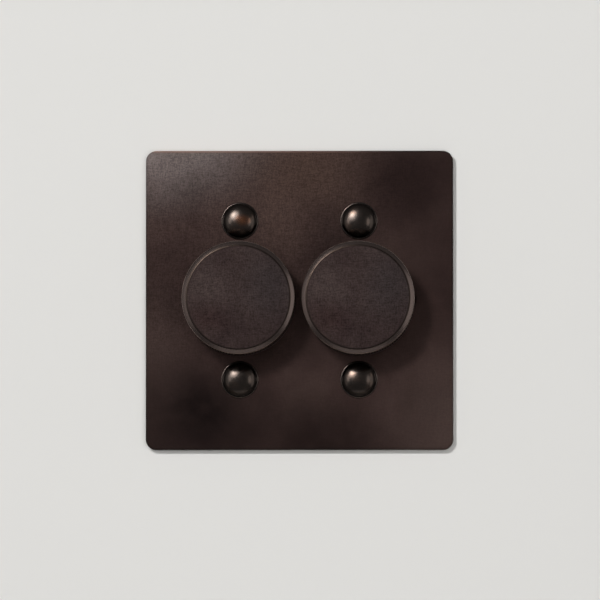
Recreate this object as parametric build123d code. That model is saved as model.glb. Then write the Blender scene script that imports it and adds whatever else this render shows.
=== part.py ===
from build123d import *
from math import cos, pi, sin, sqrt
import os

# Wall dimmer switch with two gangs. Millimetres. X runs to the right seen from the front, Z up,
# Y into the wall. The origin is the middle of the plate's back face, on the wall.

# Face plate
PLATE_WIDTH = 88.3
PLATE_HEIGHT = 86.0
PLATE_THICK = 3.5
PLATE_CORNER = 3.0
PLATE_EDGE = 0.6
FIXING_PITCH = 60.3
FIXING_RADIUS = 2.0
FIXING_SINK_RADIUS = 3.6
FIXING_SINK_DEPTH = 1.6

# Heat sink plate, let into the back of the face plate
SINK_MARGIN = 0.8
SINK_THICK = 1.5
SINK_CORNER = 2.0
RECESS_DEPTH = 1.0
RECESS_GAP = 0.25

# Domed studs
STUD_KNOB_GAP = 1.25
STUD_DOME_RADIUS = 4.95
STUD_DOME_HEIGHT = 1.35
STUD_COLLAR_LIP = 0.45
STUD_COLLAR_THICK = 0.5
STUD_COLLAR_EDGE = 0.3
STUD_SHANK_RADIUS = 2.0
STUD_TAIL = 1.0
STUD_WASHER_RADIUS = 4.4
STUD_WASHER_THICK = 0.8
STUD_NUT_FLATS = 7.0
STUD_NUT_THICK = 3.2

# Knobs
KNOB_RADIUS = 16.15
KNOB_GAP = 1.9
KNOB_HEIGHT = 15.8
KNOB_STANDOFF = 2.2
KNOB_BEVEL_WIDTH = 1.3
KNOB_BEVEL_DEPTH = 0.4
KNOB_FACE_EDGE = 0.5
KNOB_REAR_EDGE = 0.5
KNOB_BORE_DEPTH = 7.5
KNOB_HOLLOW_GAP = 0.9
REED_COUNT = 120
REED_DEPTH = 0.3
REED_SET_BACK = 0.1
REAR_LIP = 2.0
FRONT_LIP = 2.3
GRUB_RADIUS = 1.5
GRUB_LENGTH = 8.0
GRUB_KEY_FLATS = 1.5
GRUB_KEY_DEPTH = 2.0

# Spindle, bush and their fastenings
PUSH_TRAVEL = 1.5
SPINDLE_RADIUS = 3.0
SPINDLE_FLAT = 2.0
SPINDLE_TIP_EDGE = 0.4
CLIP_GROOVE_RADIUS = 2.4
CLIP_RADIUS = 4.2
CLIP_THICK = 0.6
CLIP_MOUTH = 3.2
BUSH_RADIUS = 5.0
BUSH_FLANGE_THICK = 1.5
BUSH_NOSE = 0.8
BUSH_WASHER_RADIUS = 7.6
BUSH_WASHER_THICK = 0.6
BUSH_NUT_FLATS = 14.0
BUSH_NUT_THICK = 2.2

# Rotary control behind each bush
POT_RADIUS = 7.0
POT_WALL = 1.1
POT_FLOOR = 1.5
ROTOR_THICK = 4.5
WIPER_LENGTH = 1.4
WIPER_WIDTH = 1.2
WIPER_HEIGHT = 0.5
TRACK_THICK = 0.5
TRACK_WIDTH = 1.7

# Push switch behind the board
SWITCH_RADIUS = 6.0
SWITCH_WALL = 1.1
SWITCH_FLOOR = 1.2
PLUNGER_FLANGE_RADIUS = 4.4
PLUNGER_FLANGE_THICK = 1.2
PLUNGER_STEM_RADIUS = 2.3
PLUNGER_SET_BACK = 0.4
SPRING_LENGTH = 6.2
SPRING_RADIUS = 3.4
SPRING_WIRE_RADIUS = 0.25
SPRING_TURNS = 5

# Casing and cover
CASE_POT_GAP = 0.2
CASE_STUD_GAP = 0.4
CASE_WALL = 1.5
CASE_FRONT = 2.0
CASE_CORNER = 1.5
BOSS_RADIUS = 2.2
COVER_THICK = 2.0
COVER_GAP = 0.9
COVER_SCREW_RADIUS = 1.2
COVER_SCREW_LENGTH = 9.0
COVER_HEAD_RADIUS = 2.1
COVER_HEAD_THICK = 1.3
SLOT_WIDTH = 0.6
SLOT_DEPTH = 0.6

# Circuit board and terminals
BOARD_THICK = 1.6
BOARD_GAP = 0.3
TERMINAL_COUNT = 6
TERMINAL_BOSS_GAP = 0.7
TERMINAL_WIDTH = 5.4
TERMINAL_HEIGHT = 7.0
TERMINAL_DEPTH = 8.0
TERMINAL_FLOOR_GAP = 0.6
WIRE_RADIUS = 1.8
WIRE_DEPTH = 6.0
WIRE_SET_BACK = 3.2
WIRE_SLOT_GAP = 0.6
TERMINAL_SCREW_RADIUS = 1.4
TERMINAL_SCREW_TIP = 0.3
TERMINAL_HEAD_RADIUS = 2.1
TERMINAL_HEAD_THICK = 1.3
EARTH_WIDTH = 6.0
EARTH_HEIGHT = 7.0
EARTH_DEPTH = 6.6
EARTH_RIVET_RADIUS = 1.5
EARTH_EDGE_GAP = 1.4

# Power side of each gang
TRIAC_WIDTH = 7.4
TRIAC_HEIGHT = 11.0
TRIAC_THICK = 2.9
TRIAC_MIDDLE = 3.5
TRIAC_HOLE_DROP = 2.8
TRIAC_LEAD = 0.6
TRIAC_LEAD_PITCH = 2.3
TRIAC_LEAD_DROP = 1.4
TRIAC_WINDOW_GAP = 0.5
TRIAC_SCREW_RADIUS = 1.25
TRIAC_HEAD_RADIUS = 2.3
TRIAC_HEAD_THICK = 1.4
CHOKE_GAP = 0.25
CHOKE_SWITCH_GAP = 0.6
CHOKE_OUTER = 5.3
CHOKE_INNER = 3.0
CHOKE_THICK = 5.5
CHOKE_TURNS = 11
CHOKE_WIRE = 0.7
CAPACITOR_WIDTH = 9.0
CAPACITOR_DEPTH = 8.0
CAPACITOR_GAP = 0.7
CAPACITOR_EDGE = 0.5
FUSE_SPACING = 10.0
FUSE_RADIUS = 2.3
FUSE_LENGTH = 6.5
FUSE_EDGE = 0.4

# Clearances
RUNNING_GAP = 0.05
THREAD_GAP = 0.03
HOLE_GAP = 0.15
FREE_GAP = 0.3

# Depths, front to back
plate_front = -PLATE_THICK
sink_front = -RECESS_DEPTH
sink_back = sink_front + SINK_THICK
case_inside = sink_back + CASE_FRONT
flange_back = case_inside + BUSH_FLANGE_THICK
clip_front = flange_back - CLIP_THICK - FREE_GAP
clip_back = clip_front + CLIP_THICK
rotor_front = flange_back + FREE_GAP
rotor_back = rotor_front + ROTOR_THICK
rotor_pocket = clip_back + PUSH_TRAVEL + FREE_GAP
track_front = rotor_back + WIPER_HEIGHT + RUNNING_GAP
pot_inside = track_front + TRACK_THICK
board_front = pot_inside + POT_FLOOR
board_back = board_front + BOARD_THICK
plunger_front = board_back + PLUNGER_SET_BACK
spring_front = plunger_front + PLUNGER_FLANGE_THICK
switch_inside = spring_front + SPRING_LENGTH
switch_back = switch_inside + SWITCH_FLOOR
wire_depth = board_back + WIRE_SET_BACK
terminal_back = board_back + TERMINAL_DEPTH
terminal_head = terminal_back + TERMINAL_HEAD_THICK
cover_front = max(switch_back, terminal_head) + COVER_GAP
cover_back = cover_front + COVER_THICK

# Depths forward of the plate
washer_front = plate_front - BUSH_WASHER_THICK
nut_front = washer_front - BUSH_NUT_THICK
bush_front = nut_front - BUSH_NOSE
knob_back = plate_front - KNOB_STANDOFF
knob_front = knob_back - KNOB_HEIGHT
hollow_floor = bush_front - PUSH_TRAVEL - KNOB_HOLLOW_GAP
bore_floor = hollow_floor - KNOB_BORE_DEPTH
grub_depth = (hollow_floor + bore_floor) / 2

# Radii and positions shared by several pieces
gang_x = KNOB_RADIUS + KNOB_GAP / 2
stud_collar = STUD_DOME_RADIUS + STUD_COLLAR_LIP
stud_z = KNOB_RADIUS + STUD_KNOB_GAP + stud_collar
bush_nut_corner = BUSH_NUT_FLATS / 2 / cos(pi / 6)
hollow_radius = max(bush_nut_corner, BUSH_WASHER_RADIUS) + KNOB_HOLLOW_GAP
clip_pocket_radius = CLIP_RADIUS + FREE_GAP
pass_radius = SPINDLE_RADIUS + FREE_GAP
pot_inner = POT_RADIUS - POT_WALL
rotor_radius = pot_inner - FREE_GAP
switch_inner = SWITCH_RADIUS - SWITCH_WALL
inner_x = gang_x + POT_RADIUS + CASE_POT_GAP
case_x = inner_x + CASE_WALL
case_z = stud_z - STUD_WASHER_RADIUS - CASE_STUD_GAP
inner_z = case_z - CASE_WALL
sink_z = stud_z + STUD_WASHER_RADIUS + SINK_MARGIN
boss_x = inner_x - BOSS_RADIUS
boss_z = inner_z - BOSS_RADIUS
notch = 2 * BOSS_RADIUS + BOARD_GAP
terminal_low = -inner_z + TERMINAL_FLOOR_GAP
terminal_high = terminal_low + TERMINAL_HEIGHT
terminal_middle = (terminal_low + terminal_high) / 2
terminal_span = 2 * (boss_x - BOSS_RADIUS - TERMINAL_BOSS_GAP) - TERMINAL_WIDTH
terminal_pitch = terminal_span / (TERMINAL_COUNT - 1)
terminals = [i * terminal_pitch - terminal_span / 2 for i in range(TERMINAL_COUNT)]
earth_high = sink_z - EARTH_EDGE_GAP
earth_low = earth_high - EARTH_HEIGHT
earth_middle = (earth_low + earth_high) / 2
earth_back = sink_back + EARTH_DEPTH
triac_x = (gang_x - POT_RADIUS) / 2
triac_low = TRIAC_MIDDLE - TRIAC_HEIGHT / 2
triac_high = TRIAC_MIDDLE + TRIAC_HEIGHT / 2
triac_hole = triac_high - TRIAC_HOLE_DROP
triac_back = sink_back + TRIAC_THICK
triac_tip = sink_front + FREE_GAP
choke_reach = CHOKE_OUTER + RUNNING_GAP + CHOKE_WIRE
choke_x = choke_reach + CHOKE_GAP
choke_apart = choke_reach + SWITCH_RADIUS + CHOKE_SWITCH_GAP
choke_z = sqrt(choke_apart ** 2 - (gang_x - choke_x) ** 2)
fuse_z = (terminal_high + choke_z - choke_reach) / 2
capacitor_x = inner_x - CAPACITOR_GAP - CAPACITOR_WIDTH / 2
capacitor_low = SWITCH_RADIUS + CAPACITOR_GAP
capacitor_high = boss_z - BOSS_RADIUS - CAPACITOR_GAP
studs = [(x * gang_x, z * stud_z) for x in (-1, 1) for z in (-1, 1)]
bosses = [(x * boss_x, z * boss_z) for x in (-1, 1) for z in (-1, 1)]
gangs = [("left", -1), ("right", 1)]


def slab(sketch, front, back):
    """A sketch drawn as seen from the front, pushed through from depth front to depth back."""
    return Pos(0, back, 0) * Rot(90, 0, 0) * extrude(sketch, back - front)


def rod(x, z, radius, front, back):
    """A round bar along the depth."""
    return slab(Pos(x, z) * Circle(radius), front, back)


def turned(x, z, points):
    """A piece turned about the line along the depth at x, z, from (radius, depth) points."""
    return Pos(x, 0, z) * revolve(make_face(Polyline(*points, close=True)), Axis.Y)


def block(x, z, width, height, front, back):
    """A straight block centred at x, z."""
    return slab(Pos(x, z) * Rectangle(width, height), front, back)


def hex_nut(x, z, flats, bore, front, back):
    """A hexagon nut with its corners turned down at both ends."""
    corner = flats / 2 / cos(pi / 6)
    drop = (corner - flats / 2) / 2
    hexagon = slab(Pos(x, z) * RegularPolygon(flats / 2, 6, major_radius=False), front, back)
    barrel = turned(x, z, [(0, front), (flats / 2, front), (corner, front + drop),
                           (corner, back - drop), (flats / 2, back), (0, back)])
    return (hexagon & barrel) - rod(x, z, bore, front, back)


def slotted_screw(x, z, radius, head_radius, tip, seat, head_thick):
    """A screw seen from behind: its tip in front, its slotted head resting at depth seat."""
    top = seat + head_thick
    screw = turned(x, z, [(0, tip), (radius, tip), (radius, seat), (head_radius, seat),
                          (head_radius, top - SLOT_DEPTH / 2), (head_radius - SLOT_DEPTH / 2, top),
                          (0, top)])
    return screw - block(x, z, 2 * head_radius, SLOT_WIDTH, top - SLOT_DEPTH, top)


def d_section(x, radius, flat, front, back):
    """A round bar with one flat on its underside."""
    cut = block(x, -flat - radius / 2, 2 * radius, radius, front, back)
    return rod(x, 0, radius, front, back) - cut


def save(name, shape):
    """Write one named piece, or a group of like pieces."""
    export_step(shape, os.path.join("parts", name + ".step"))


def together(solids):
    """Several separate like pieces kept as one group."""
    return Compound(children=list(solids))


def face_plate():
    outline = RectangleRounded(PLATE_WIDTH, PLATE_HEIGHT, PLATE_CORNER)
    plate = slab(outline, plate_front, 0)
    plate = fillet(plate.faces().sort_by(Axis.Y)[0].outer_wire().edges(), PLATE_EDGE)
    recess = RectangleRounded(2 * (case_x + RECESS_GAP), 2 * (sink_z + RECESS_GAP), SINK_CORNER)
    plate -= slab(recess, sink_front, 0)
    for name, side in gangs:
        plate -= rod(side * gang_x, 0, BUSH_RADIUS + HOLE_GAP, plate_front, 0)
        sink_floor = plate_front + FIXING_SINK_DEPTH
        plate -= turned(side * FIXING_PITCH / 2, 0,
                        [(0, plate_front), (FIXING_SINK_RADIUS, plate_front), (FIXING_RADIUS, sink_floor),
                         (FIXING_RADIUS, 0), (0, 0)])
    for x, z in studs:
        plate -= rod(x, z, STUD_SHANK_RADIUS + HOLE_GAP, plate_front, 0)
    return plate


def dome_stud(x, z):
    """One turned piece: an oval dome on a thin round-edged collar, with a plain shank behind."""
    collar_front = plate_front - STUD_COLLAR_THICK
    tail = sink_back + STUD_WASHER_THICK + STUD_NUT_THICK + STUD_TAIL
    collar = rod(x, z, stud_collar, collar_front, plate_front)
    front_edge = collar.edges().filter_by(GeomType.CIRCLE).sort_by(Axis.Y)[0]
    collar = fillet(front_edge, STUD_COLLAR_EDGE)
    oval = Ellipse(STUD_DOME_RADIUS, STUD_DOME_HEIGHT)
    oval &= Pos(STUD_DOME_RADIUS / 2, -STUD_DOME_HEIGHT / 2) * Rectangle(STUD_DOME_RADIUS, STUD_DOME_HEIGHT)
    dome = Pos(x, collar_front, z) * revolve(oval, Axis.Y)
    return collar + dome + rod(x, z, STUD_SHANK_RADIUS, plate_front, tail)


def stud_washer(x, z):
    ring = Circle(STUD_WASHER_RADIUS) - Circle(STUD_SHANK_RADIUS + HOLE_GAP)
    return slab(Pos(x, z) * ring, sink_back, sink_back + STUD_WASHER_THICK)


def stud_nut(x, z):
    front = sink_back + STUD_WASHER_THICK
    return hex_nut(x, z, STUD_NUT_FLATS, STUD_SHANK_RADIUS + THREAD_GAP, front, front + STUD_NUT_THICK)


def heat_sink_plate():
    sink = slab(RectangleRounded(2 * case_x, 2 * sink_z, SINK_CORNER), sink_front, sink_back)
    for x, z in studs:
        sink -= rod(x, z, STUD_SHANK_RADIUS + HOLE_GAP, sink_front, sink_back)
    for name, side in gangs:
        sink -= rod(side * gang_x, 0, BUSH_RADIUS + HOLE_GAP, sink_front, sink_back)
        hole_radius = TRIAC_SCREW_RADIUS + THREAD_GAP
        sink -= rod(side * triac_x, triac_hole, hole_radius, sink_front, sink_back)
    sink -= rod(0, earth_middle, EARTH_RIVET_RADIUS + THREAD_GAP, sink_front, sink_back)
    return sink


def casing():
    case = slab(RectangleRounded(2 * case_x, 2 * case_z, CASE_CORNER), sink_back, cover_front)
    case -= block(0, 0, 2 * inner_x, 2 * inner_z, case_inside, cover_front)
    for x, z in bosses:
        case += rod(x, z, BOSS_RADIUS, case_inside, cover_front)
        corner_x = (x + (inner_x if x > 0 else -inner_x)) / 2
        corner_z = (z + (inner_z if z > 0 else -inner_z)) / 2
        case += block(corner_x, z, BOSS_RADIUS, 2 * BOSS_RADIUS, case_inside, cover_front)
        case += block(x, corner_z, 2 * BOSS_RADIUS, BOSS_RADIUS, case_inside, cover_front)
        hole_front = cover_back - COVER_SCREW_LENGTH - FREE_GAP
        case -= rod(x, z, COVER_SCREW_RADIUS + THREAD_GAP, hole_front, cover_front)
    for name, side in gangs:
        case -= rod(side * gang_x, 0, BUSH_RADIUS + HOLE_GAP, sink_back, case_inside)
    window_width = 2 * triac_x + TRIAC_WIDTH + 2 * TRIAC_WINDOW_GAP
    window_low = triac_low - TRIAC_LEAD_DROP - TRIAC_WINDOW_GAP
    window_high = triac_high + TRIAC_WINDOW_GAP
    case -= block(0, (window_low + window_high) / 2, window_width, window_high - window_low,
                  sink_back, case_inside)
    slot_width = terminal_span + TERMINAL_WIDTH + 2 * BOARD_GAP
    slot_half = WIRE_RADIUS + WIRE_SLOT_GAP
    case -= block(0, -inner_z - CASE_WALL / 2, slot_width, CASE_WALL, wire_depth - slot_half,
                  wire_depth + slot_half)
    return case


def rear_cover():
    cover = slab(RectangleRounded(2 * case_x, 2 * case_z, CASE_CORNER), cover_front, cover_back)
    for x, z in bosses:
        cover -= rod(x, z, COVER_SCREW_RADIUS + HOLE_GAP, cover_front, cover_back)
    for x in terminals:
        cover -= rod(x, terminal_middle, TERMINAL_HEAD_RADIUS + FREE_GAP, cover_front, cover_back)
    return cover


def cover_screw(x, z):
    return slotted_screw(x, z, COVER_SCREW_RADIUS, COVER_HEAD_RADIUS, cover_back - COVER_SCREW_LENGTH,
                         cover_back, COVER_HEAD_THICK)


def circuit_board():
    board = block(0, 0, 2 * (inner_x - BOARD_GAP), 2 * (inner_z - BOARD_GAP), board_front, board_back)
    for x, z in bosses:
        corner_x = inner_x if x > 0 else -inner_x
        corner_z = inner_z if z > 0 else -inner_z
        board -= block(corner_x, corner_z, 2 * notch, 2 * notch, board_front, board_back)
    for name, side in gangs:
        board -= rod(side * gang_x, 0, pass_radius, board_front, board_back)
    return board


def clamp_block(x, middle, width, low, high, front, back, wire, mouth):
    """A brass clamp with a wire bore along the height, open at mouth, and a screw hole from behind."""
    clamp = block(x, (low + high) / 2, width, high - low, front, back)
    inward = WIRE_DEPTH if mouth == low else -WIRE_DEPTH
    bore = Pos(x, wire, mouth + inward / 2) * Cylinder(WIRE_RADIUS, WIRE_DEPTH)
    clamp -= bore
    return clamp - rod(x, middle, TERMINAL_SCREW_RADIUS + THREAD_GAP, wire, back)


def clamp_screw(x, z, wire, seat):
    return slotted_screw(x, z, TERMINAL_SCREW_RADIUS, TERMINAL_HEAD_RADIUS,
                         wire + WIRE_RADIUS + TERMINAL_SCREW_TIP, seat, TERMINAL_HEAD_THICK)


def terminal_barrel(x):
    return clamp_block(x, terminal_middle, TERMINAL_WIDTH, terminal_low, terminal_high, board_back,
                       terminal_back, wire_depth, terminal_low)


def earth_terminal():
    clamp = clamp_block(0, earth_middle, EARTH_WIDTH, earth_low, earth_high, sink_back, earth_back,
                        sink_back + WIRE_SET_BACK, earth_high)
    return clamp + rod(0, earth_middle, EARTH_RIVET_RADIUS, sink_front + FREE_GAP, sink_back)


def bush(x):
    neck = turned(x, 0, [(0, bush_front), (BUSH_RADIUS, bush_front), (BUSH_RADIUS, case_inside),
                         (POT_RADIUS, case_inside), (POT_RADIUS, flange_back), (0, flange_back)])
    neck -= rod(x, 0, SPINDLE_RADIUS + RUNNING_GAP, bush_front, clip_front)
    return neck - rod(x, 0, clip_pocket_radius, clip_front, flange_back)


def bush_washer(x):
    ring = Circle(BUSH_WASHER_RADIUS) - Circle(BUSH_RADIUS + HOLE_GAP)
    return slab(Pos(x, 0) * ring, washer_front, plate_front)


def bush_nut(x):
    return hex_nut(x, 0, BUSH_NUT_FLATS, BUSH_RADIUS + THREAD_GAP, nut_front, washer_front)


def pot_case(x):
    cup = rod(x, 0, POT_RADIUS, flange_back, board_front)
    cup -= rod(x, 0, pot_inner, flange_back, pot_inside)
    return cup - rod(x, 0, pass_radius, pot_inside, board_front)


def pot_track(x):
    outer = rotor_radius
    ring = Circle(outer) - Circle(outer - TRACK_WIDTH)
    return slab(Pos(x, 0) * ring, track_front, pot_inside)


def pot_rotor(x):
    rotor = rod(x, 0, rotor_radius, rotor_front, rotor_back)
    rotor -= rod(x, 0, clip_pocket_radius, rotor_front, rotor_pocket)
    bore = SPINDLE_RADIUS + RUNNING_GAP
    rotor -= d_section(x, bore, SPINDLE_FLAT + RUNNING_GAP, rotor_pocket, rotor_back)
    wiper_z = rotor_radius - TRACK_WIDTH / 2
    return rotor + block(x, wiper_z, WIPER_LENGTH, WIPER_WIDTH, rotor_back, rotor_back + WIPER_HEIGHT)


def switch_body(x):
    cup = rod(x, 0, SWITCH_RADIUS, board_back, switch_back)
    return cup - rod(x, 0, switch_inner, board_back, switch_inside)


def switch_plunger(x):
    tip = switch_inside - PUSH_TRAVEL - FREE_GAP
    return turned(x, 0, [(0, plunger_front), (PLUNGER_FLANGE_RADIUS, plunger_front),
                         (PLUNGER_FLANGE_RADIUS, spring_front), (PLUNGER_STEM_RADIUS, spring_front),
                         (PLUNGER_STEM_RADIUS, tip), (0, tip)])


def return_spring(x):
    start = spring_front + SPRING_WIRE_RADIUS
    height = SPRING_LENGTH - 2 * SPRING_WIRE_RADIUS
    path = Helix(height / SPRING_TURNS, height, SPRING_RADIUS, center=(x, start, 0), direction=(0, 1, 0))
    section = Plane(path @ 0, z_dir=path % 0) * Circle(SPRING_WIRE_RADIUS)
    return sweep(section, path=path, is_frenet=True)


def spindle(x):
    bar = rod(x, 0, SPINDLE_RADIUS, bore_floor, plunger_front)
    ends = bar.edges().filter_by(GeomType.CIRCLE).sort_by(Axis.Y)
    bar = chamfer(ends[0], SPINDLE_TIP_EDGE)
    cut = -SPINDLE_FLAT - SPINDLE_RADIUS / 2
    bar -= block(x, cut, 2 * SPINDLE_RADIUS, SPINDLE_RADIUS, bore_floor, hollow_floor + KNOB_HOLLOW_GAP)
    bar -= block(x, cut, 2 * SPINDLE_RADIUS, SPINDLE_RADIUS, clip_back, plunger_front)
    groove = Circle(SPINDLE_RADIUS + FREE_GAP) - Circle(CLIP_GROOVE_RADIUS)
    return bar - slab(Pos(x, 0) * groove, clip_front, clip_back)


def spindle_clip(x):
    ring = Circle(CLIP_RADIUS) - Circle(CLIP_GROOVE_RADIUS)
    ring -= Pos(0, CLIP_RADIUS / 2) * Rectangle(CLIP_MOUTH, CLIP_RADIUS)
    return slab(Pos(x, 0) * ring, clip_front, clip_back)


def reeds():
    """The star-shaped edge of the grip, a small tooth for every reed."""
    tip = KNOB_RADIUS - REED_SET_BACK
    points = []
    for i in range(2 * REED_COUNT):
        radius = tip - REED_DEPTH * (i % 2)
        angle = pi * i / REED_COUNT
        points.append((radius * cos(angle), radius * sin(angle)))
    return make_face(Polyline(*points, close=True))


def knob(x):
    bevel_back = knob_front + KNOB_BEVEL_DEPTH
    body = turned(x, 0, [(0, knob_front), (KNOB_RADIUS - KNOB_BEVEL_WIDTH, knob_front),
                         (KNOB_RADIUS, bevel_back), (KNOB_RADIUS, knob_back - KNOB_REAR_EDGE),
                         (KNOB_RADIUS - KNOB_REAR_EDGE, knob_back), (0, knob_back)])
    face_edge = body.edges().filter_by(GeomType.CIRCLE).sort_by(Axis.Y)[0]
    body = fillet(face_edge, KNOB_FACE_EDGE)
    grip_back = knob_back - REAR_LIP
    grip_front = bevel_back + FRONT_LIP
    waste = Circle(KNOB_RADIUS + REED_DEPTH) - reeds()
    body -= slab(Pos(x, 0) * waste, grip_front, grip_back)
    body -= rod(x, 0, hollow_radius, hollow_floor, knob_back)
    body -= rod(x, 0, SPINDLE_RADIUS + THREAD_GAP, bore_floor, hollow_floor)
    hole = Cylinder(GRUB_RADIUS + THREAD_GAP, KNOB_RADIUS)
    return body - Pos(x, grub_depth, -KNOB_RADIUS / 2) * hole


def knob_screw(x):
    screw = Cylinder(GRUB_RADIUS, GRUB_LENGTH)
    socket = extrude(RegularPolygon(GRUB_KEY_FLATS / 2, 6, major_radius=False), GRUB_KEY_DEPTH)
    screw -= Pos(0, 0, -GRUB_LENGTH / 2) * socket
    return Pos(x, grub_depth, -SPINDLE_FLAT - GRUB_LENGTH / 2) * screw


def triac(side):
    x = side * triac_x
    body = block(x, TRIAC_MIDDLE, TRIAC_WIDTH, TRIAC_HEIGHT, sink_back, triac_back)
    body -= rod(x, triac_hole, TRIAC_SCREW_RADIUS + HOLE_GAP, sink_back, triac_back)
    lead_depth = sink_back + TRIAC_THICK / 2
    lead_low = triac_low - TRIAC_LEAD_DROP
    for i in (-1, 0, 1):
        lead_x = x + i * TRIAC_LEAD_PITCH
        drop_middle = (lead_low + triac_low) / 2
        body += block(lead_x, drop_middle, TRIAC_LEAD, TRIAC_LEAD_DROP, lead_depth, lead_depth + TRIAC_LEAD)
        run = block(lead_x, lead_low + TRIAC_LEAD / 2, TRIAC_LEAD, TRIAC_LEAD, lead_depth, board_front)
        body += run
    return body


def triac_screw(side):
    return slotted_screw(side * triac_x, triac_hole, TRIAC_SCREW_RADIUS, TRIAC_HEAD_RADIUS,
                         triac_tip, triac_back, TRIAC_HEAD_THICK)


def choke_core(side):
    ring = Circle(CHOKE_OUTER) - Circle(CHOKE_INNER)
    front = board_back + CHOKE_WIRE + RUNNING_GAP
    return slab(Pos(side * choke_x, choke_z) * ring, front, front + CHOKE_THICK)


def choke_winding(side):
    radial = CHOKE_OUTER - CHOKE_INNER + 2 * RUNNING_GAP
    depth = CHOKE_THICK + 2 * RUNNING_GAP
    loop = Box(radial + 2 * CHOKE_WIRE, depth + 2 * CHOKE_WIRE, CHOKE_WIRE)
    loop -= Box(radial, depth, CHOKE_WIRE)
    middle = board_back + depth / 2 + CHOKE_WIRE
    place = Pos(side * choke_x, middle, choke_z)
    reach = (CHOKE_OUTER + CHOKE_INNER) / 2
    step = 360 / CHOKE_TURNS
    return together(place * Rot(0, i * step, 0) * Pos(reach, 0, 0) * loop for i in range(CHOKE_TURNS))


def capacitor(side):
    body = block(side * capacitor_x, (capacitor_low + capacitor_high) / 2, CAPACITOR_WIDTH,
                 capacitor_high - capacitor_low, board_back, board_back + CAPACITOR_DEPTH)
    return chamfer(body.faces().sort_by(Axis.Y)[-1].edges(), CAPACITOR_EDGE)


def fuse(side):
    body = rod(side * FUSE_SPACING / 2, fuse_z, FUSE_RADIUS, board_back, board_back + FUSE_LENGTH)
    return chamfer(body.faces().sort_by(Axis.Y)[-1].edges(), FUSE_EDGE)


os.makedirs("parts", exist_ok=True)
save("face_plate", face_plate())
save("dome_studs", together(dome_stud(x, z) for x, z in studs))
save("stud_washers", together(stud_washer(x, z) for x, z in studs))
save("stud_nuts", together(stud_nut(x, z) for x, z in studs))
save("heat_sink_plate", heat_sink_plate())
save("casing", casing())
save("rear_cover", rear_cover())
save("cover_screws", together(cover_screw(x, z) for x, z in bosses))
save("circuit_board", circuit_board())
save("terminal_barrels", together(terminal_barrel(x) for x in terminals))
save("terminal_screws", together(clamp_screw(x, terminal_middle, wire_depth, terminal_back)
                                 for x in terminals))
save("earth_terminal", earth_terminal())
save("earth_screw", clamp_screw(0, earth_middle, sink_back + WIRE_SET_BACK, earth_back))
save("triac_screws", together(triac_screw(side) for name, side in gangs))
for name, side in gangs:
    axis_x = side * gang_x
    save(name + "_bush", bush(axis_x))
    save(name + "_bush_washer", bush_washer(axis_x))
    save(name + "_bush_nut", bush_nut(axis_x))
    save(name + "_pot_case", pot_case(axis_x))
    save(name + "_pot_track", pot_track(axis_x))
    save(name + "_pot_rotor", pot_rotor(axis_x))
    save(name + "_switch_body", switch_body(axis_x))
    save(name + "_switch_plunger", switch_plunger(axis_x))
    save(name + "_return_spring", return_spring(axis_x))
    save(name + "_spindle", spindle(axis_x))
    save(name + "_spindle_clip", spindle_clip(axis_x))
    save(name + "_knob", knob(axis_x))
    save(name + "_knob_screw", knob_screw(axis_x))
    save(name + "_triac", triac(side))
    save(name + "_choke_core", choke_core(side))
    save(name + "_choke_winding", choke_winding(side))
    save(name + "_capacitor", capacitor(side))
    save(name + "_fuse", fuse(side))
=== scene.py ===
import math
import bmesh
import bpy
from mathutils import Matrix, Vector


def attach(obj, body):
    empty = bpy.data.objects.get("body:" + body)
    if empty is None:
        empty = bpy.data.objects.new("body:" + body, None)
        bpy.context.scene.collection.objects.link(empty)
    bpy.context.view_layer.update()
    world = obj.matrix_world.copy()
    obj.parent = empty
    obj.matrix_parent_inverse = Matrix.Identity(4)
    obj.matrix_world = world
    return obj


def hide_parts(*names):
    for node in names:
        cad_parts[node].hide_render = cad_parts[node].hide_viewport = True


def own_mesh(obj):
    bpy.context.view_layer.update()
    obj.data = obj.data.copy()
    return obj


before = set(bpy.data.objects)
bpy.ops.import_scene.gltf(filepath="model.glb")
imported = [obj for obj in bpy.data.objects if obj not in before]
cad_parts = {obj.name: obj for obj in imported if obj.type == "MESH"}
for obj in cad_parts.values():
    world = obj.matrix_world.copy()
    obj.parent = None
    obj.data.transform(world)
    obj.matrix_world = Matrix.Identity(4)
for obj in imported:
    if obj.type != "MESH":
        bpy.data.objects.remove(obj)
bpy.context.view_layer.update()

scene = bpy.context.scene
scene.view_settings.view_transform = "Standard"
MM = 0.001


# The camera stands three metres off, a shade to the right of the plate and below it, so that the
# knobs and studs lean up and to the left against the plate by as much as in the photograph.
camera_distance = 3000 * MM
field_width = 172.1 * MM
lean_right = math.radians(1.3)
lean_down = math.radians(2.8)
plate_front = -3.5 * MM
aim = Vector((0.17 * MM, plate_front, 0.06 * MM))
stand = Vector((math.tan(lean_right), -1.0, -math.tan(lean_down)))
camera_data = bpy.data.cameras.new("camera")
camera_data.sensor_width = 36.0
camera_data.lens = camera_data.sensor_width * camera_distance / field_width
camera_data.clip_end = 50.0
camera = bpy.data.objects.new("camera", camera_data)
camera.location = aim + stand * camera_distance
camera.rotation_euler = (-stand).to_track_quat("-Z", "Y").to_euler()
scene.collection.objects.link(camera)
scene.camera = camera


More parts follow.
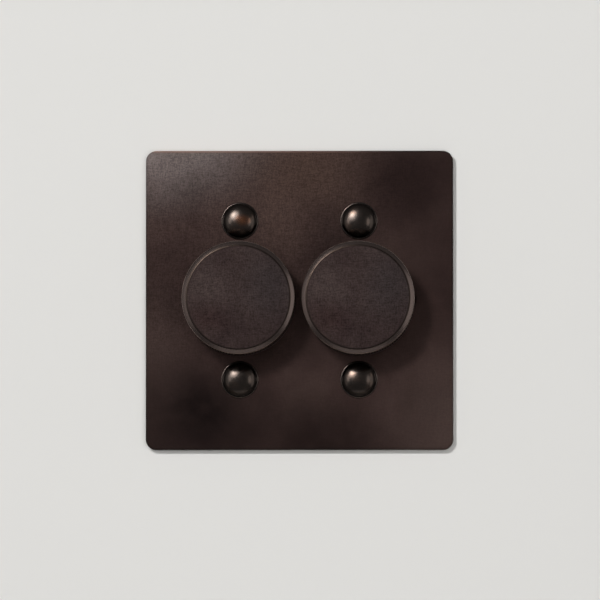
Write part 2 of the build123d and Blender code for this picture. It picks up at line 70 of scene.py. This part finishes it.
# The stage is a plain pale backdrop with an opening for the casing, just covered by the plate, and
# a plain pale floor far below. Both are seen from their faces only, so the back can be looked at.
def pale_stage(name, place, turn, width, height, border=0.0, corner=0.0):
    skin = bpy.data.materials.new(name)
    skin.use_nodes = True
    nodes, links = skin.node_tree.nodes, skin.node_tree.links
    nodes.remove(nodes["Principled BSDF"])
    coat = nodes.new("ShaderNodeBsdfDiffuse")
    coat.inputs["Color"].default_value = (0.82, 0.81, 0.785, 1.0)
    side = nodes.new("ShaderNodeNewGeometry")
    pick = nodes.new("ShaderNodeMixShader")
    links.new(side.outputs["Backfacing"], pick.inputs[0])
    links.new(coat.outputs[0], pick.inputs[1])
    links.new(nodes.new("ShaderNodeBsdfTransparent").outputs[0], pick.inputs[2])
    links.new(pick.outputs[0], nodes["Material Output"].inputs["Surface"])
    shape = bmesh.new()
    bmesh.ops.create_grid(shape, x_segments=1, y_segments=1, size=0.5, matrix=Matrix.Translation(place)
                          @ turn @ Matrix.Diagonal((width, height, 1.0, 1.0)))
    if border:
        opening = list(shape.faces)
        bmesh.ops.inset_region(shape, faces=opening, thickness=border, use_boundary=True,
                               use_even_offset=True)
        bmesh.ops.bevel(shape, geom=list(opening[0].verts), offset=corner, offset_type="OFFSET",
                        segments=1, profile=0.5, affect="VERTICES", material=-1)
        opening = min(shape.faces, key=lambda face: (face.calc_center_median() - place).length)
        bmesh.ops.delete(shape, geom=[opening], context="FACES")
    mesh = bpy.data.meshes.new(name)
    shape.to_mesh(mesh)
    shape.free()
    mesh.materials.append(skin)
    panel = bpy.data.objects.new(name, mesh)
    scene.collection.objects.link(panel)


opening_width = 87.9 * MM
opening_height = 85.6 * MM
opening_corner = 1.8 * MM
backdrop_border = 4.0
backdrop_gap = 0.05 * MM
floor_drop = 2.6
floor_size = 8.0
pale_stage("backdrop", Vector((0, backdrop_gap, 0)), Matrix.Rotation(math.pi / 2, 4, "X"),
           opening_width + 2 * backdrop_border, opening_height + 2 * backdrop_border,
           backdrop_border, opening_corner)
pale_stage("floor", Vector((0, 0, -floor_drop)), Matrix.Identity(4), floor_size, floor_size)


# The studio light: one soft lamp high on the left throws the short shadows and a wide one in front
# fills them. A softbox with a dim rim, two side panels and three dim screens are what the metal
# mirrors. Two weak lamps far out light the sides, and three behind the backdrop light the back.
def soft_lamp(name, place, width, height, power, thrown=True, mirrored=True):
    lamp_data = bpy.data.lights.new(name, "AREA")
    lamp_data.shape = "ELLIPSE"
    lamp_data.size = width
    lamp_data.size_y = height
    lamp_data.energy = power
    lamp = bpy.data.objects.new(name, lamp_data)
    lamp.location = place
    lamp.rotation_euler = (-Vector(place)).to_track_quat("-Z", "Y").to_euler()
    lamp.visible_camera = False
    lamp.visible_diffuse = thrown
    lamp.visible_glossy = mirrored
    scene.collection.objects.link(lamp)


soft_lamp("shadow_lamp", (-0.438, -1.6, 0.488), 0.20, 0.20, 14.8, mirrored=False)
soft_lamp("front_fill", (0.2, -1.5, -0.1), 0.8, 0.8, 8.0, mirrored=False)
soft_lamp("softbox", (-0.43, -1.6, 0.48), 0.30, 0.34, 2.4, thrown=False)
soft_lamp("softbox_rim", (-0.43, -1.6, 0.48), 0.58, 0.64, 2.6, thrown=False)
soft_lamp("right_panel", (0.567, -1.5, 0.04), 0.26, 0.50, 0.25, thrown=False)
soft_lamp("left_panel", (-0.683, -1.5, 0.15), 0.28, 0.50, 0.37, thrown=False)
soft_lamp("right_screen", (1.09, -1.5, 0.0), 0.58, 1.30, 0.70, thrown=False)
soft_lamp("left_screen", (-1.09, -1.5, 0.0), 0.58, 1.10, 0.30, thrown=False)
soft_lamp("low_screen", (0.0, -1.5, -0.97), 1.20, 0.53, 0.25, thrown=False)
soft_lamp("far_right", (1.7, -0.18, 0.25), 0.45, 0.9, 1.3)
soft_lamp("far_left", (-1.7, -0.18, 0.25), 0.45, 0.9, 1.2)
soft_lamp("rear_high", (0.4, 1.3, 0.8), 0.6, 0.6, 14.0)
soft_lamp("rear_right", (1.1, 0.8, 0.1), 0.6, 0.6, 7.0)
soft_lamp("rear_left", (-1.1, 0.8, 0.1), 0.6, 0.6, 7.0)
studio_grey = 0.09
scene.world = bpy.data.worlds.new("studio")
scene.world.use_nodes = True
studio = scene.world.node_tree.nodes["Background"]
studio.inputs["Color"].default_value = (studio_grey, studio_grey, studio_grey, 1.0)


# The face plate is one flat piece of brass, browned with acid until it looks like old bronze,
# rubbed both ways with a fine pad and waxed. Its front edge is eased, and along the top a pale line
# is partly wear and partly a painted highlight. A pale sheen on the upper left corner is a painted
# reflection, and the plate's clouds are partly stains and partly painted reflection and shade.
def paint(red, green, blue):
    """A colour as it reads on a screen, 0 to 255, in the linear form that shaders take."""
    def linear(level):
        level /= 255
        return level / 12.92 if level <= 0.04045 else ((level + 0.055) / 1.055) ** 2.4
    return (linear(red), linear(green), linear(blue), 1.0)


class Finish:
    """A finish built up from layers of pattern on the piece's own coordinates."""

    def __init__(self, name, metallic):
        self.material = bpy.data.materials.new(name)
        self.material.use_nodes = True
        self.tree = self.material.node_tree
        self.shader = self.tree.nodes["Principled BSDF"]
        self.shader.inputs["Metallic"].default_value = metallic
        self.place = self.node("TexCoord", {}).outputs["Object"]

    def node(self, kind, wires, **settings):
        made = self.tree.nodes.new("ShaderNode" + kind)
        for name, value in settings.items():
            setattr(made, name, value)
        for name, value in wires.items():
            if isinstance(value, bpy.types.NodeSocket):
                self.tree.links.new(value, made.inputs[name])
            else:
                made.inputs[name].default_value = value
        return made

    def grain(self, size, stretch=(1, 1, 1), detail=2.0, shift=(0, 0, 0)):
        """Soft random spots about this size across, drawn out along the axes."""
        scale = [1 / (size * length) for length in stretch]
        spots = self.node("Mapping", {"Vector": self.place, "Location": shift, "Scale": scale})
        wires = {"Vector": spots.outputs[0], "Scale": 1.0, "Detail": detail, "Roughness": 0.55}
        return self.node("TexNoise", wires).outputs[0]

    def patch(self, x, z, width, height):
        """A soft-edged patch on the front, 1 at its middle and 0 from its rim outwards."""
        middle = (-x / width, 0, -z / height)
        scale = (1 / width, 0, 1 / height)
        spot = self.node("Mapping", {"Vector": self.place, "Location": middle, "Scale": scale})
        cone = self.node("TexGradient", {"Vector": spot.outputs[0]}, gradient_type="SPHERICAL")
        return self.spread(cone.outputs[1], 0, 1, 0, 1, "SMOOTHSTEP")

    def axis(self, letter):
        """How far a point lies along one axis: X to the right, Y to the back, Z up."""
        return self.node("SeparateXYZ", {"Vector": self.place}).outputs[letter]

    def off_axis(self, x, z):
        """How far a point lies from the axis that a turned piece spins on."""
        wires = {"Vector": self.place, "Location": (-x, 0, -z), "Scale": (1, 0, 1)}
        spoke = self.node("Mapping", wires)
        return self.node("VectorMath", {0: spoke.outputs[0]}, operation="LENGTH").outputs[1]

    def spread(self, value, low, high, to_low, to_high, how="LINEAR"):
        wires = {"Value": value, "From Min": low, "From Max": high, "To Min": to_low, "To Max": to_high}
        return self.node("MapRange", wires, interpolation_type=how).outputs[0]

    def sum(self, first, second, how="ADD"):
        return self.node("Math", {0: first, 1: second}, operation=how).outputs[0]

    def ramp(self, value, stops):
        ramp = self.node("ValToRGB", {"Fac": value})
        marks = ramp.color_ramp.elements
        while len(marks) < len(stops):
            marks.new(0.5)
        for mark, (where, colour) in zip(marks, stops):
            mark.position = where
            mark.color = colour
        return ramp.outputs[0]

    def mix(self, share, first, second, how="MIX"):
        wires = {"Factor": share, 6: first, 7: second}
        return self.node("Mix", wires, data_type="RGBA", blend_type=how).outputs[2]

    def relief(self, height, depth, strength):
        wires = {"Height": height, "Distance": depth, "Strength": strength}
        self.feed("Normal", self.node("Bump", wires).outputs[0])

    def feed(self, socket, value):
        self.tree.links.new(value, self.shader.inputs[socket])


def dress(finish, *names):
    """Puts a finish on solids of the frame."""
    for name in names:
        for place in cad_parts[name].material_slots:
            place.material = finish.material


def browned_bronze(name, dark, middle, light, cloud_size, shift):
    """The browned coat: its finish, its colour before stains and painted light, its rubbed grain and its
    roughness.
    """
    bronze = Finish(name, 0.55)
    bronze.shader.inputs["Specular IOR Level"].default_value = 0.15
    clouds = bronze.grain(cloud_size, detail=4.0, shift=shift)
    colour = bronze.ramp(clouds, ((0.34, dark), (0.5, middle), (0.66, light)))
    upright = bronze.grain(0.34 * MM, stretch=(1, 1, 5))
    level = bronze.grain(0.34 * MM, stretch=(5, 1, 1))
    tooth = bronze.grain(0.36 * MM)
    rubbed = bronze.sum(bronze.sum(upright, level), bronze.sum(tooth, 1.6, "MULTIPLY"))
    roughness = bronze.spread(bronze.sum(tooth, clouds), 0.7, 1.3, 0.42, 0.56)
    return bronze, colour, rubbed, roughness


def rub(bronze, colour, rubbed, share):
    """Rubs a share of the grain into a colour that already has its stains and painted light."""
    return bronze.mix(share, colour, bronze.spread(rubbed, 1.4, 2.2, 0.55, 1.45), "MULTIPLY")


plate_cloud = 24 * MM
plate_top = 42.9 * MM
worn_strip = 0.6 * MM
plate_bronze, plate_colour, plate_grain, plate_rough = browned_bronze(
    "plate_bronze", paint(48, 35, 32), paint(60, 45, 42), paint(72, 56, 52), plate_cloud, (3.1, 0, 1.7))
# The first patch is a painted reflection, a pale sheen on the upper left corner. The others are lighter
# and darker clouds, partly stains and partly painted reflection and shade.
plate_stains_and_sheen = (  # across, up, width and height in millimetres, strength, colour
    (-44, 50, 49, 31, 0.80, paint(147, 135, 132)),
    (3, 38, 30, 22, 0.60, paint(88, 69, 60)),
    (-5, 19, 14, 12, 0.45, paint(84, 66, 59)),
    (31, 34, 26, 26, 0.95, paint(36, 24, 22)),
    (9, 19, 12, 14, 0.65, paint(34, 23, 21)),
    (42, 8, 20, 40, 0.60, paint(42, 29, 27)),
    (-42, -13, 18, 24, 0.60, paint(74, 59, 55)),
    (-29, -33, 26, 24, 1.00, paint(16, 8, 7)),
    (-40, -41, 24, 16, 0.65, paint(28, 18, 17)),
    (0, -34, 26, 17, 0.50, paint(28, 18, 16)),
    (8, -43, 36, 18, 0.80, paint(24, 14, 12)),
    (52, -38, 40, 36, 0.70, paint(88, 72, 67)),
)
# Lays each patch on the plate: stains, painted sheen and painted shade, as listed above.
for across, up, width, height, strength, patch_colour in plate_stains_and_sheen:
    spot = plate_bronze.patch(across * MM, up * MM, width * MM, height * MM)
    ragged = plate_bronze.grain(9 * MM, detail=3.0, shift=(across, 0, up))
    spot = plate_bronze.sum(spot, plate_bronze.spread(ragged, 0.3, 0.6, 0.75, 1.0), "MULTIPLY")
    spot = plate_bronze.sum(spot, strength, "MULTIPLY")
    plate_colour = plate_bronze.mix(spot, plate_colour, patch_colour)
rubbed_more = plate_bronze.patch(-32 * MM, 34 * MM, 90 * MM, 75 * MM)
rubbed_more = plate_bronze.spread(rubbed_more, 0.12, 0.5, 0.25, 0.8)
plate_colour = rub(plate_bronze, plate_colour, plate_grain, rubbed_more)
# A pale line along the top edge that fades to the right: partly wear, partly a painted highlight on the
# eased edge.
edge_wear_and_glint = plate_bronze.spread(plate_bronze.axis("Z"), plate_top - worn_strip, plate_top, 0.0, 1.0)
wear_and_glint_left = plate_bronze.spread(plate_bronze.axis("X"), -30 * MM, 30 * MM, 1.0, 0.0)
edge_wear_and_glint = plate_bronze.sum(edge_wear_and_glint, wear_and_glint_left, "MULTIPLY")
plate_colour = plate_bronze.mix(edge_wear_and_glint, plate_colour, paint(160, 124, 110))
plate_bronze.feed("Base Color", plate_colour)
plate_bronze.feed("Roughness", plate_rough)
plate_bronze.relief(plate_grain, 0.005 * MM, 0.4)
dress(plate_bronze, "face_plate")


# Four domed studs hold the plate: each is turned from brass bar in one piece, with a round head
# on a thin collar and a threaded tail, then browned and polished brighter than the plate. The foot
# of the dome is painted darker as shade, and the collar's edge is rubbed. One stud has a painted
# warm reflection beside its highlight.
def shaded(mesh, crease_degrees):
    """Smooth over rounded faces, crisp where two faces meet at more than this angle."""
    mesh.shade_smooth()
    mesh.set_sharp_from_angle(angle=math.radians(crease_degrees))


def shown(name, shape, finish, crease_degrees):
    """Turns a finished shape into a piece with its finish."""
    bmesh.ops.remove_doubles(shape, verts=shape.verts, dist=0.0005 * MM)
    bmesh.ops.recalc_face_normals(shape, faces=shape.faces)
    mesh = bpy.data.meshes.new(name)
    shape.to_mesh(mesh)
    shape.free()
    shaded(mesh, crease_degrees)
    mesh.materials.append(finish.material)
    piece = bpy.data.objects.new(name, mesh)
    scene.collection.objects.link(piece)
    return piece


def profile(shape, start, x, z, points):
    """Carries a turning profile on from a corner, through points of radius and depth."""
    corners = [start]
    for radius, depth in points:
        corner = shape.verts.new(Vector((x + radius, depth, z)))
        shape.edges.new((corners[-1], corner))
        corners.append(corner)
    return corners


def turn(shape, corners, x, z, steps):
    """Spins a profile right round the lathe's axis, which runs from front to back."""
    edges = {edge for corner in corners for edge in corner.link_edges}
    bmesh.ops.spin(shape, geom=list(corners) + list(edges), cent=(x, 0, z), axis=(0, 1, 0),
                   angle=2 * math.pi, steps=steps, use_merge=True)


gang_x = 17.1 * MM
stud_z = 22.8 * MM
collar_radius = 5.4 * MM
collar_front = -4.0 * MM
collar_edge = 0.3 * MM
dome_radius = 4.95 * MM
dome_height = 1.35 * MM
shank_radius = 2.0 * MM
shank_tail = 5.5 * MM
thread_root = 1.72 * MM
thread_pitch = 0.5 * MM
tail_point = 0.3 * MM
dome_steps = 28
round_steps = 96
hair = 0.001 * MM
stud_shape = bmesh.new()
turned = set()
for x, z in ((-gang_x, stud_z), (gang_x, stud_z), (-gang_x, -stud_z), (gang_x, -stud_z)):
    apex = stud_shape.verts.new((x, collar_front - dome_radius, z))
    before = set(stud_shape.verts)
    bmesh.ops.spin(stud_shape, geom=[apex], cent=(x, collar_front, z), axis=(0, 0, 1),
                   angle=math.pi / 2, steps=dome_steps)
    dome = [apex] + [corner for corner in stud_shape.verts if corner not in before]
    bmesh.ops.scale(stud_shape, verts=dome, vec=(1, dome_height / dome_radius, 1),
                    space=Matrix.Translation((0, -collar_front, 0)))
    tail = [(collar_radius, collar_front), (collar_radius, plate_front),
            (shank_radius, plate_front), (shank_radius, 0.0)]
    depth = 0.0
    while depth + thread_pitch < shank_tail - tail_point:
        tail.append((thread_root, depth + thread_pitch / 2))
        tail.append((shank_radius, depth + thread_pitch))
        depth += thread_pitch
    tail += [(thread_root, shank_tail), (0.0, shank_tail)]
    dome_rim = max(dome, key=lambda corner: corner.co.x)
    outline = profile(stud_shape, dome_rim, x, z, tail)
    bmesh.ops.bevel(stud_shape, geom=[outline[1]], offset=collar_edge, offset_type="OFFSET",
                    segments=6, profile=0.5, affect="VERTICES", material=-1)
    new_corners = [corner for corner in stud_shape.verts if corner not in turned]
    turn(stud_shape, new_corners, x, z, round_steps)
    turned.update(stud_shape.verts)

stud_bronze = Finish("stud_bronze", 1.0)
stud_stain = stud_bronze.grain(3.2 * MM, detail=3.0, shift=(0.6, 0.2, 0.9))
stud_colour = stud_bronze.ramp(stud_stain, (
    (0.36, paint(90, 80, 74)), (0.54, paint(100, 88, 81)), (0.70, paint(114, 95, 84))))
# A painted warm reflection beside the highlight of the upper left stud.
painted_warm_reflection = stud_bronze.patch(0.9 * MM - gang_x, stud_z + 0.2 * MM, 2.8 * MM, 2.2 * MM)
stud_colour = stud_bronze.mix(painted_warm_reflection, stud_colour, paint(176, 118, 86))
stud_depth = stud_bronze.axis("Y")
# Painted shade: the foot of each dome is darkened, where the rim mirrors little light.
dome_foot_shade = stud_bronze.spread(stud_depth, collar_front - 0.95 * MM, collar_front - 0.45 * MM, 0.0, 1.0)
stud_colour = stud_bronze.mix(dome_foot_shade, stud_colour, paint(54, 45, 41))
collar_worn = stud_bronze.spread(stud_depth, collar_front + hair / 2, collar_front + 1.5 * hair, 0.0, 1.0)
stud_colour = stud_bronze.mix(collar_worn, stud_colour, paint(120, 106, 99))
stud_bronze.shader.inputs["Coat Weight"].default_value = 0.3
stud_bronze.shader.inputs["Coat Roughness"].default_value = 0.25
stud_bronze.feed("Base Color", stud_colour)
stud_scuff = stud_bronze.grain(0.9 * MM, detail=2.0)
stud_bronze.feed("Roughness", stud_bronze.spread(stud_scuff, 0.3, 0.7, 0.14, 0.18))
stud_bronze.relief(stud_scuff, 0.001 * MM, 0.15)
studs = shown("domed_studs", stud_shape, stud_bronze, 28)
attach(studs, "base")
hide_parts("dome_studs")


# Each knob is turned from solid brass bar and browned like the plate: a flat face with a bevelled
# rim, a band of fine straight reeds for the fingers, and a hollow back that clears the fixing nut.
# The rim is polished, fingers have worn the front of the reeds, and a painted shade line runs
# just inside the edge of the face.
knob_radius = 16.15 * MM
knob_front = -21.5 * MM
knob_back = -5.7 * MM
bevel_width = 1.3 * MM
bevel_back = -21.1 * MM
face_round = 0.15 * MM
rear_edge = 0.5 * MM
reed_tip = 16.05 * MM
reed_depth = 0.3 * MM
reed_count = 120
grip_front = -18.8 * MM
grip_back = -7.7 * MM
hollow_radius = 8.98 * MM
hollow_floor = -9.5 * MM
bore_radius = 3.03 * MM
bore_floor = -17.0 * MM
grub_depth = -13.25 * MM
grub_hole = 1.53 * MM
face_radius = knob_radius - bevel_width
knob_cloud = 15 * MM
gangs = (("left", -gang_x), ("right", gang_x))


def reeded_knob(name, x, finish):
    shape = bmesh.new()
    centre = shape.verts.new((x, knob_front, 0))
    corners = profile(shape, centre, x, 0, [
        (face_radius, knob_front), (knob_radius, bevel_back), (knob_radius, grip_front),
        (reed_tip, grip_front), (reed_tip, grip_back), (knob_radius, grip_back),
        (knob_radius, knob_back - rear_edge), (knob_radius - rear_edge, knob_back),
        (hollow_radius, knob_back), (hollow_radius, hollow_floor), (bore_radius, hollow_floor),
        (bore_radius, bore_floor), (0.0, bore_floor)])
    bmesh.ops.bevel(shape, geom=[corners[1], corners[2]], offset=face_round, offset_type="OFFSET",
                    segments=5, profile=0.5, affect="VERTICES", material=-1)
    turn(shape, list(shape.verts), x, 0, 4 * reed_count)
    for corner in shape.verts:
        out = Vector((corner.co.x - x, 0, corner.co.z))
        on_grip = grip_front - hair < corner.co.y < grip_back + hair
        if on_grip and abs(out.length - reed_tip) < hair:
            lean = 0.5 - 0.5 * math.cos(reed_count * math.atan2(out.z, out.x))
            corner.co -= out.normalized() * reed_depth * lean
    knob = shown(name, shape, finish, 24)
    drill_shape = bmesh.new()
    drill_place = Matrix.Translation((x, grub_depth, -knob_radius / 2))
    bmesh.ops.create_cone(drill_shape, cap_ends=True, segments=32, radius1=grub_hole, radius2=grub_hole,
                          depth=knob_radius, matrix=drill_place)
    drill = shown(name + "_drill", drill_shape, finish, 24)
    cut = knob.modifiers.new("grub_hole", "BOOLEAN")
    cut.object = drill
    cut.operation = "DIFFERENCE"
    cut.solver = "EXACT"
    drilled = knob.evaluated_get(bpy.context.evaluated_depsgraph_get())
    drilled_mesh = bpy.data.meshes.new_from_object(drilled)
    knob.modifiers.clear()
    knob.data = drilled_mesh
    bpy.data.objects.remove(drill)
    return knob


# Patches on each knob's face: lighter towards the left, darker at the lower left and towards the right.
knob_face_patches = (  # as for the plate, from the middle of the knob's face
    (-8, 2, 12, 10, 0.50, paint(78, 66, 63)),
    (-9, -6, 10, 8, 0.65, paint(54, 38, 36)),
    (10, 4, 12, 16, 0.55, paint(50, 45, 46)),
)
for side, x in gangs:
    knob_bronze, knob_colour, knob_grain, knob_rough = browned_bronze(
        side + "_knob_bronze", paint(52, 40, 39), paint(60, 48, 46), paint(68, 56, 54), knob_cloud,
        (-x / knob_cloud, 0, 0.4))
    for across, up, width, height, strength, patch_colour in knob_face_patches:
        spot = knob_bronze.patch(x + across * MM, up * MM, width * MM, height * MM)
        knob_colour = knob_bronze.mix(knob_bronze.sum(spot, strength, "MULTIPLY"), knob_colour, patch_colour)
    knob_colour = rub(knob_bronze, knob_colour, knob_grain, 1.0)
    spoke = knob_bronze.off_axis(x, 0)
    # A painted shade line just inside the edge of the face, where the rounding turns away from the light.
    painted_shade_line = knob_bronze.spread(
        spoke, face_radius - 0.45 * MM, face_radius - 0.15 * MM, 0.0, 0.8, "SMOOTHSTEP")
    knob_colour = knob_bronze.mix(painted_shade_line, knob_colour, paint(34, 26, 25))
    knob_depth = knob_bronze.axis("Y")
    front = knob_bronze.spread(knob_depth, bevel_back + 0.1 * MM, bevel_back + 0.3 * MM, 1.0, 0.0)
    rim = knob_bronze.spread(spoke, face_radius - 0.15 * MM, face_radius - 0.05 * MM, 0.0, 1.0)
    rim = knob_bronze.sum(front, rim, "MULTIPLY")
    knob_colour = knob_bronze.mix(rim, knob_colour, paint(68, 57, 50))
    slope = knob_bronze.spread(spoke, face_radius + 0.12 * MM, face_radius + 0.22 * MM, 0.0, 1.0)
    slope = knob_bronze.sum(front, slope, "MULTIPLY")
    knob_colour = knob_bronze.mix(slope, knob_colour, paint(140, 123, 117))
    handled = knob_bronze.spread(spoke, reed_tip - 0.16 * MM, reed_tip, 0.0, 0.8)
    handled = knob_bronze.sum(handled, knob_bronze.spread(front, 0, 1, 1.0, 0.0), "MULTIPLY")
    fingertips = knob_bronze.spread(knob_depth, -16 * MM, -9 * MM, 1.0, 0.1)
    handled = knob_bronze.sum(handled, fingertips, "MULTIPLY")
    knob_colour = knob_bronze.mix(handled, knob_colour, paint(128, 102, 88))
    knob_bronze.feed("Base Color", knob_colour)
    knob_bronze.feed("Metallic", knob_bronze.spread(rim, 0, 1, 0.55, 1.0))
    plain = knob_bronze.spread(rim, 0, 1, 1.0, 0.0)
    polish = knob_bronze.spread(rim, 0, 1, 0.0, 0.2)
    knob_rough = knob_bronze.sum(knob_bronze.sum(knob_rough, plain, "MULTIPLY"), polish)
    knob_bronze.feed("Roughness", knob_rough)
    knob_bronze.relief(knob_bronze.sum(knob_grain, plain, "MULTIPLY"), 0.005 * MM, 0.4)
    knob = reeded_knob("reeded_knob_" + side, x, knob_bronze)
    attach(knob, side + "_turn")
    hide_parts(side + "_knob")


# Small bought-in metal parts: zinc-plated washers, nuts and screws, a blackened grub screw in each
# knob, brass bushes and terminals, a steel spindle with its sprung clip.
def bare_metal(name, dark, light, low_rough, high_rough, lines=(1, 1, 1)):
    """A metal with a slight bloom and tool marks, drawn out along the axes."""
    metal = Finish(name, 1.0)
    bloom = metal.grain(1.6 * MM, detail=3.0)
    metal.feed("Base Color", metal.ramp(bloom, ((0.35, dark), (0.65, light))))
    tool = metal.grain(0.18 * MM, stretch=lines)
    metal.feed("Roughness", metal.spread(metal.sum(tool, bloom), 0.7, 1.3, low_rough, high_rough))
    metal.relief(tool, 0.003 * MM, 0.3)
    return metal


def dress_gangs(finish, *pieces):
    """Puts a finish on the same solids of both gangs."""
    for side, _ in gangs:
        dress(finish, *[side + "_" + piece for piece in pieces])


zinc_steel = bare_metal("zinc_steel", paint(150, 153, 158), paint(196, 198, 198), 0.28, 0.44)
dress(zinc_steel, "stud_washers", "stud_nuts", "cover_screws", "terminal_screws", "earth_screw",
      "triac_screws")
dress_gangs(zinc_steel, "bush_washer")
dark_steel = bare_metal("dark_steel", paint(34, 34, 36), paint(58, 57, 57), 0.35, 0.5)
dress_gangs(dark_steel, "knob_screw")
bush_brass = bare_metal("bush_brass", paint(168, 132, 74), paint(206, 172, 108), 0.24, 0.4)
dress_gangs(bush_brass, "bush", "bush_nut")
terminal_brass = bare_metal("terminal_brass", paint(160, 124, 66), paint(204, 168, 100), 0.3, 0.46)
dress(terminal_brass, "terminal_barrels", "earth_terminal")
spindle_steel = bare_metal(
    "spindle_steel", paint(136, 138, 142), paint(180, 181, 183), 0.22, 0.36, lines=(1, 12, 1))
dress_gangs(spindle_steel, "spindle")
spring_steel = bare_metal("spring_steel", paint(96, 98, 104), paint(150, 152, 156), 0.25, 0.4)
dress_gangs(spring_steel, "spindle_clip")


# The heat sink plate is a strap of rolled aluminium behind the face plate. It carries the controls
# and takes the warmth of the power parts. Its mill finish shows the lines of the rolling.
heat_sink = bare_metal(
    "heat_sink", paint(184, 186, 188), paint(200, 201, 202), 0.38, 0.46, lines=(30, 1, 1))
dress(heat_sink, "heat_sink_plate")


# The casing and its rear cover are moulded in flame-proof plastic with a fine spark-worn skin. The
# cover is a paler grey and is held on by four screws at its corners.
def moulded(name, dark, light, low_rough, high_rough, skin=0.16):
    """A moulded finish, with the size of the skin's pits in millimetres."""
    plastic = Finish(name, 0.0)
    flow = plastic.grain(7 * MM, detail=4.0)
    plastic.feed("Base Color", plastic.ramp(flow, ((0.3, dark), (0.7, light))))
    pits = plastic.grain(skin * MM, detail=2.0)
    plastic.feed("Roughness", plastic.spread(plastic.sum(pits, flow), 0.7, 1.3, low_rough, high_rough))
    plastic.relief(pits, 0.012 * MM, 0.4)
    return plastic


case_plastic = moulded("case_plastic", paint(44, 45, 47), paint(58, 59, 61), 0.42, 0.6)
dress(case_plastic, "casing")
cover_plastic = moulded("cover_plastic", paint(156, 156, 152), paint(167, 167, 162), 0.44, 0.56)
dress(cover_plastic, "rear_cover")


# One glass-fibre circuit board serves both gangs, with a green lacquer over the weave of its cloth.
# It lies across the casing, between the controls in front and the switches behind.
board = Finish("board", 0.0)
board_warp = board.grain(0.3 * MM, stretch=(1, 1, 10))
board_weft = board.grain(0.3 * MM, stretch=(10, 1, 1))
board_weave = board.sum(board_warp, board_weft)
board_colour = board.ramp(board_weave, ((0.35, paint(18, 62, 40)), (0.65, paint(34, 92, 58))))
board.feed("Base Color", board_colour)
board.feed("Roughness", board.spread(board_weave, 0.7, 1.3, 0.26, 0.4))
board.relief(board_weave, 0.008 * MM, 0.3)
dress(board, "circuit_board")


# Each gang's control: a moulded case with a printed carbon track, a rotor with a wiper, and behind
# it a push switch whose plunger is brought back by a wound steel spring.
control_plastic = moulded("control_plastic", paint(36, 48, 70), paint(50, 64, 88), 0.4, 0.55)
dress_gangs(control_plastic, "pot_case")
track_carbon = moulded("track_carbon", paint(24, 24, 25), paint(40, 39, 39), 0.5, 0.68, skin=0.08)
dress_gangs(track_carbon, "pot_track")
rotor_plastic = moulded("rotor_plastic", paint(196, 190, 174), paint(216, 211, 196), 0.4, 0.55)
dress_gangs(rotor_plastic, "pot_rotor")
switch_plastic = moulded("switch_plastic", paint(30, 31, 33), paint(44, 45, 47), 0.4, 0.55)
dress_gangs(switch_plastic, "switch_body")
plunger_plastic = moulded("plunger_plastic", paint(178, 58, 46), paint(202, 76, 60), 0.36, 0.5)
dress_gangs(plunger_plastic, "switch_plunger")

spring_front = 14.55 * MM
spring_back = 20.75 * MM
spring_radius = 3.4 * MM
wire_radius = 0.25 * MM
spring_turns = 5
spring_steps = 36 * spring_turns
wire_sides = 10
for side, x in gangs:
    shape = bmesh.new()
    start = Vector((x + spring_radius, spring_front + wire_radius, 0))
    wire = bmesh.ops.create_circle(shape, segments=wire_sides, radius=wire_radius,
                                   matrix=Matrix.Translation(start))
    climb = (spring_back - spring_front - 2 * wire_radius) / spring_steps
    bmesh.ops.spin(shape, geom=wire["verts"] + list(shape.edges), cent=(x, start.y, 0), axis=(0, 1, 0),
                   dvec=(0, climb, 0), angle=2 * math.pi * spring_turns, steps=spring_steps)
    wire_ends = [edge for edge in shape.edges if edge.is_boundary]
    bmesh.ops.holes_fill(shape, edges=wire_ends, sides=wire_sides)
    spring = shown("wound_spring_" + side, shape, spring_steel, 40)
    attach(spring, "base")
    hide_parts(side + "_return_spring")
    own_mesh(spring)


# Each gang's power parts: a triac in black epoxy screwed to the heat sink, an iron choke ring wound
# with enamelled copper, a boxed film capacitor and a ceramic fuse.
triac_epoxy = moulded("triac_epoxy", paint(26, 26, 28), paint(40, 40, 42), 0.45, 0.6, skin=0.1)
dress_gangs(triac_epoxy, "triac")
core_iron = moulded("core_iron", paint(54, 58, 62), paint(76, 80, 84), 0.5, 0.66, skin=0.12)
dress_gangs(core_iron, "choke_core")
copper = bare_metal("copper", paint(160, 82, 46), paint(204, 118, 72), 0.2, 0.34)
dress_gangs(copper, "choke_winding")
capacitor_film = moulded("capacitor_film", paint(176, 132, 44), paint(198, 154, 60), 0.3, 0.45)
dress_gangs(capacitor_film, "capacitor")
fuse_body = moulded("fuse_body", paint(206, 202, 190), paint(224, 221, 210), 0.3, 0.42)
dress_gangs(fuse_body, "fuse")
